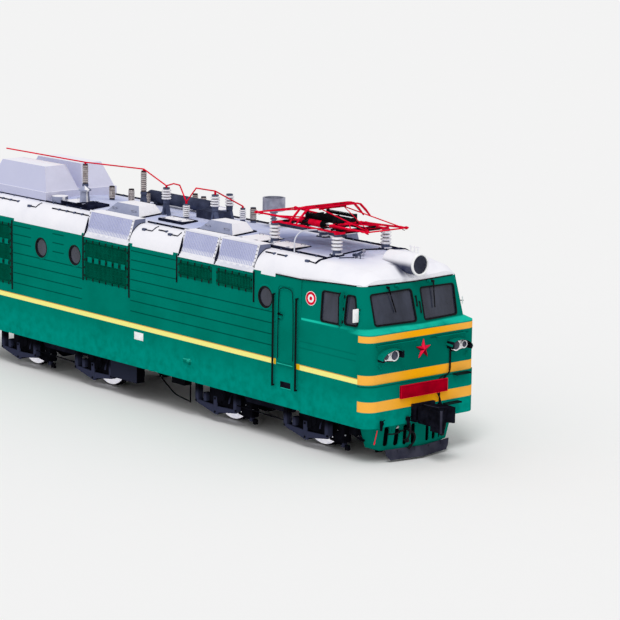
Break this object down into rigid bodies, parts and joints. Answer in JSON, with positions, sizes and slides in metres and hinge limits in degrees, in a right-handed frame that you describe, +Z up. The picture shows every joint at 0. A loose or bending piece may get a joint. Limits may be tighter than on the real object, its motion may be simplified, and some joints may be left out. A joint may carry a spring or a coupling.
{
  "type": "electric locomotive",
  "caption": "One-cab section of a two-section mainline freight electric locomotive, flat cab nose, two bogies with outside leaf springs and a lowered diamond pantograph on the roof.",
  "frame": {"origin": "middle of the box round the section, at the level of the bottom of the wheel flanges", "axes": "+X forward towards the cab, +Y to the left, +Z up"},
  "size_m": [16.42, 3.312, 5.0558],
  "materials": {
    "underframe_slate": "matt",
    "body_green": "satin",
    "grille_green": "satin",
    "rubber_black": "matt",
    "roof_white": "satin",
    "louvre_lavender": "satin",
    "black_paint": "satin",
    "inner_grey": "matt",
    "seat_cloth": "woven",
    "glass": "clear",
    "signal_red": "gloss",
    "glaze_white": "gloss",
    "glaze_brown": "gloss",
    "aluminium_grey": "cast",
    "wheel_steel": "worn"
  },
  "bodies": {
    "carbody": {"underframe": "underframe_slate", "side_wall_right": "body_green", "side_wall_left": "body_green", "side_grilles": "grille_green", "rear_wall": "body_green", "gangway_bellows": "rubber_black", "main_roof": "roof_white", "shoulder_louvres": "louvre_lavender", "cab_shell": "body_green", "cab_roof": "roof_white", "headlight": "black_paint", "bulkheads": "inner_grey", "cab_desk": "inner_grey", "cab_seats": "seat_cloth", "machine_blocks": "inner_grey", "door_hinges": "black_paint", "glazing": "glass", "marker_lamps": "black_paint", "front_badges": "signal_red", "handrails": "black_paint", "mirrors": "body_green", "plough": "body_green", "plough_blade": "underframe_slate", "couplers": "black_paint", "brake_hoses": "rubber_black", "roof_housings": "louvre_lavender", "roof_hatches": "roof_white", "roof_switchgear": "black_paint", "white_insulators": "glaze_white", "brown_insulators": "glaze_brown", "post_stands": "black_paint", "busbar": "signal_red", "choke_coil": "aluminium_grey", "pantograph_base": "signal_red", "underbody_equipment": "underframe_slate", "cables": "rubber_black"},
    "bogie_front": {"bogie_frame_front": "underframe_slate", "axle_springs_front": "underframe_slate", "traction_motors_front": "black_paint", "brake_gear_front": "underframe_slate"},
    "bogie_rear": {"bogie_frame_rear": "underframe_slate", "axle_springs_rear": "underframe_slate", "traction_motors_rear": "black_paint", "brake_gear_rear": "underframe_slate"},
    "axle_1": {"wheelset_1": "wheel_steel"},
    "axle_2": {"wheelset_2": "wheel_steel"},
    "axle_3": {"wheelset_3": "wheel_steel"},
    "axle_4": {"wheelset_4": "wheel_steel"},
    "door_right": {"cab_door_right": "body_green"},
    "door_left": {"cab_door_left": "body_green"},
    "door_gangway": {"gangway_door": "body_green"},
    "pan_lower_front": {"pantograph_lower_front": "signal_red"},
    "pan_lower_rear": {"pantograph_lower_rear": "signal_red"},
    "pan_upper_front": {"pantograph_upper_front": "signal_red"},
    "pan_upper_rear": {"pantograph_upper_rear": "signal_red"},
    "pan_head": {"pantograph_head": "signal_red"}
  },
  "joints": [
    {"name": "bogie_swivel_front", "type": "hinge", "parent": "carbody", "child": "bogie_front", "pos_m": [3.75, 0, 1.1], "axis": [0, 0, 1], "range_deg": [-3, 3]},
    {"name": "bogie_swivel_rear", "type": "hinge", "parent": "carbody", "child": "bogie_rear", "pos_m": [-3.75, 0, 1.1], "axis": [0, 0, 1], "range_deg": [-3, 3]},
    {"name": "wheelset_1_spin", "type": "hinge", "parent": "bogie_front", "child": "axle_1", "pos_m": [5.25, 0, 0.655], "axis": [0, 1, 0], "continuous": true},
    {"name": "wheelset_2_spin", "type": "hinge", "parent": "bogie_front", "child": "axle_2", "pos_m": [2.25, 0, 0.655], "axis": [0, 1, 0], "continuous": true},
    {"name": "wheelset_3_spin", "type": "hinge", "parent": "bogie_rear", "child": "axle_3", "pos_m": [-2.25, 0, 0.655], "axis": [0, 1, 0], "continuous": true},
    {"name": "wheelset_4_spin", "type": "hinge", "parent": "bogie_rear", "child": "axle_4", "pos_m": [-5.25, 0, 0.655], "axis": [0, 1, 0], "continuous": true},
    {"name": "cab_door_right_hinge", "type": "hinge", "parent": "carbody", "child": "door_right", "pos_m": [5.074, -1.508, 2.6], "axis": [0, 0, -1], "range_deg": [0, 90]},
    {"name": "cab_door_left_hinge", "type": "hinge", "parent": "carbody", "child": "door_left", "pos_m": [5.074, 1.508, 2.6], "axis": [0, 0, 1], "range_deg": [0, 90]},
    {"name": "gangway_door_hinge", "type": "hinge", "parent": "carbody", "child": "door_gangway", "pos_m": [-7.268, 0.344, 2.6], "axis": [0, 0, 1], "range_deg": [0, 90]},
    {"name": "pantograph_raise", "type": "hinge", "parent": "carbody", "child": "pan_lower_front", "pos_m": [4.89, 0, 4.63], "axis": [0, -1, 0], "range_deg": [0, 55]},
    {"name": "pantograph_lower_rear_swing", "type": "hinge", "parent": "carbody", "child": "pan_lower_rear", "pos_m": [3.89, 0, 4.63], "axis": [0, 1, 0], "range_deg": [0, 55]},
    {"name": "pantograph_upper_front_swing", "type": "hinge", "parent": "pan_lower_front", "child": "pan_upper_front", "pos_m": [6.16965, 0, 4.66], "axis": [0, 1, 0], "range_deg": [0, 94.06]},
    {"name": "pantograph_upper_rear_swing", "type": "hinge", "parent": "pan_lower_rear", "child": "pan_upper_rear", "pos_m": [2.61035, 0, 4.66], "axis": [0, -1, 0], "range_deg": [0, 94.06]},
    {"name": "pantograph_head_swing", "type": "hinge", "parent": "pan_upper_front", "child": "pan_head", "pos_m": [4.46, 0, 4.93], "axis": [0, -1, 0], "range_deg": [0, 39.06]}
  ],
  "couplings": [
    {"joint": "pantograph_lower_rear_swing", "follows": "pantograph_raise", "ratio": 1},
    {"joint": "pantograph_upper_front_swing", "follows": "pantograph_raise", "ratio": 1.71},
    {"joint": "pantograph_upper_rear_swing", "follows": "pantograph_raise", "ratio": 1.71},
    {"joint": "pantograph_head_swing", "follows": "pantograph_raise", "ratio": 0.71}
  ]
}
